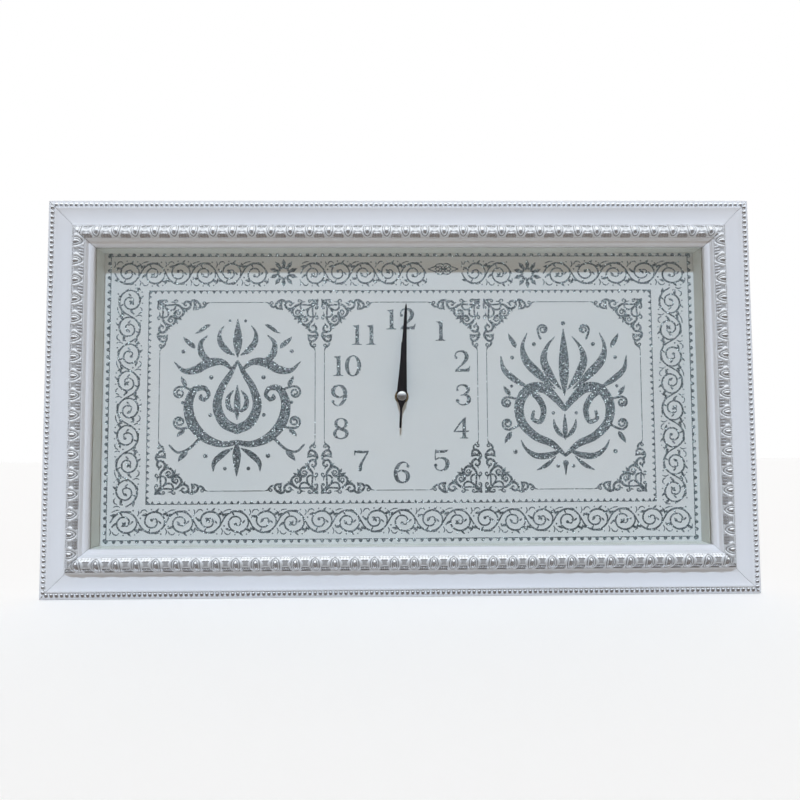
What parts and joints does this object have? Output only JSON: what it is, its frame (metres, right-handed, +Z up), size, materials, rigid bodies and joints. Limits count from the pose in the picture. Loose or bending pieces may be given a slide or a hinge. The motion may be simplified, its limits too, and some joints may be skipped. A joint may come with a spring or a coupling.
{
  "type": "canvas wall clock",
  "caption": "Wide wall clock with a printed canvas dial in a deep, glazed, mitred white and silver frame, and a battery quartz movement behind the board.",
  "frame": {"origin": "on the wall plane, in the middle of the flat land on the back of the top rail", "axes": "+X to the viewer's right along the wide side, +Y into the wall so the face looks along -Y, +Z up"},
  "size_m": [0.716, 0.0611, 0.4001],
  "materials": {
    "white_moulding": "satin white foil on foamed polystyrene moulding",
    "silver_foil": "bright silver foil on the moulded ornament and beads",
    "clear_glass": "clear float glass",
    "printed_canvas": "pale grey printed canvas, fine weave",
    "glitter_ink": "grey silver glitter ink",
    "hardboard": "brown pressed fibreboard",
    "spacer_strip": "matt pale grey liner strip",
    "plated_steel": "zinc plated",
    "black_plastic": "fine textured black",
    "white_plastic": "natural acetal",
    "brass": "turned brass",
    "black_rubber": "matt",
    "copper_wire": "enamelled copper winding",
    "green_board": "solder resist",
    "battery_sleeve": "plain printed sleeve, no label",
    "black_paint": "satin black paint",
    "chrome": "polished"
  },
  "bodies": {
    "clock_body": {"frame_rail_top": "white_moulding", "frame_rail_bottom": "white_moulding", "frame_rail_left": "white_moulding", "frame_rail_right": "white_moulding", "corner_wedge_tl": "plated_steel", "corner_wedge_tr": "plated_steel", "corner_wedge_bl": "plated_steel", "corner_wedge_br": "plated_steel", "glass_pane": "clear_glass", "canvas_print": "printed_canvas", "dial_board": "hardboard", "spacer_top": "spacer_strip", "spacer_bottom": "spacer_strip", "spacer_left": "spacer_strip", "spacer_right": "spacer_strip", "retaining_tab_1": "plated_steel", "retaining_tab_2": "plated_steel", "retaining_tab_3": "plated_steel", "retaining_tab_4": "plated_steel", "retaining_tab_5": "plated_steel", "retaining_tab_6": "plated_steel", "retaining_tab_7": "plated_steel", "retaining_tab_8": "plated_steel", "hanger_strap_left": "plated_steel", "hanger_strap_right": "plated_steel", "hanger_screw_left": "plated_steel", "hanger_screw_right": "plated_steel", "movement_front_case": "black_plastic", "movement_rear_cover": "black_plastic", "threaded_bush": "brass", "rubber_washer": "black_rubber", "brass_washer": "brass", "hex_nut": "brass", "stator": "plated_steel", "coil": "copper_wire", "circuit_board": "green_board", "crystal": "plated_steel", "contact_positive": "plated_steel", "contact_negative": "plated_steel"},
    "minute_hand_body": {"minute_shaft": "plated_steel", "clutch_spring": "plated_steel", "minute_hand": "black_paint", "cap_nut": "chrome"},
    "hour_hand_body": {"hour_wheel": "white_plastic", "hour_hand": "black_paint"},
    "setting_body": {"minute_wheel": "white_plastic", "set_knob": "white_plastic"},
    "second_wheel_body": {"second_wheel": "white_plastic"},
    "third_wheel_body": {"third_wheel": "white_plastic"},
    "centre_wheel_body": {"centre_wheel": "brass"},
    "fifth_wheel_body": {"fifth_wheel": "white_plastic"},
    "rotor_body": {"rotor": "plated_steel"},
    "battery_body": {"battery": "battery_sleeve"},
    "left_ring_body": {"hanger_ring_left": "plated_steel"},
    "right_ring_body": {"hanger_ring_right": "plated_steel"}
  },
  "joints": [
    {"name": "minute_hand_spin", "type": "hinge", "parent": "clock_body", "child": "minute_hand_body", "pos_m": [0, -0.0312, -0.19375], "axis": [0, 1, 0], "continuous": true},
    {"name": "hour_hand_spin", "type": "hinge", "parent": "clock_body", "child": "hour_hand_body", "pos_m": [0, -0.0278, -0.19375], "axis": [0, 1, 0], "continuous": true},
    {"name": "setting_spin", "type": "hinge", "parent": "clock_body", "child": "setting_body", "pos_m": [0.00823, -0.0114, -0.189], "axis": [0, 1, 0], "continuous": true},
    {"name": "second_wheel_spin", "type": "hinge", "parent": "clock_body", "child": "second_wheel_body", "pos_m": [0, -0.0064, -0.19375], "axis": [0, 1, 0], "continuous": true},
    {"name": "third_wheel_spin", "type": "hinge", "parent": "clock_body", "child": "third_wheel_body", "pos_m": [-0.00811, -0.0079, -0.18907], "axis": [0, 1, 0], "continuous": true},
    {"name": "centre_wheel_spin", "type": "hinge", "parent": "clock_body", "child": "centre_wheel_body", "pos_m": [0, -0.0096, -0.19375], "axis": [0, 1, 0], "continuous": true},
    {"name": "fifth_wheel_spin", "type": "hinge", "parent": "clock_body", "child": "fifth_wheel_body", "pos_m": [0, -0.0052, -0.1843], "axis": [0, 1, 0], "continuous": true},
    {"name": "rotor_spin", "type": "hinge", "parent": "clock_body", "child": "rotor_body", "pos_m": [0.003, -0.0076, -0.1791], "axis": [0, 1, 0], "continuous": true},
    {"name": "battery_slide", "type": "slide", "parent": "clock_body", "child": "battery_body", "axis": [0, 1, 0], "range_m": [0, 0.03]},
    {"name": "left_ring_swing", "type": "hinge", "parent": "clock_body", "child": "left_ring_body", "pos_m": [-0.24, -0.0019, -0.02025], "axis": [-1, 0, 0], "range_deg": [0, 178]},
    {"name": "right_ring_swing", "type": "hinge", "parent": "clock_body", "child": "right_ring_body", "pos_m": [0.24, -0.0019, -0.02025], "axis": [-1, 0, 0], "range_deg": [0, 178]}
  ],
  "couplings": [
    {"joint": "hour_hand_spin", "follows": "minute_hand_spin", "ratio": 0.083333},
    {"joint": "setting_spin", "follows": "minute_hand_spin", "ratio": -0.33333},
    {"joint": "third_wheel_spin", "follows": "second_wheel_spin", "ratio": -0.13333},
    {"joint": "centre_wheel_spin", "follows": "second_wheel_spin", "ratio": 0.016667},
    {"joint": "fifth_wheel_spin", "follows": "second_wheel_spin", "ratio": -6},
    {"joint": "rotor_spin", "follows": "second_wheel_spin", "ratio": 30}
  ]
}
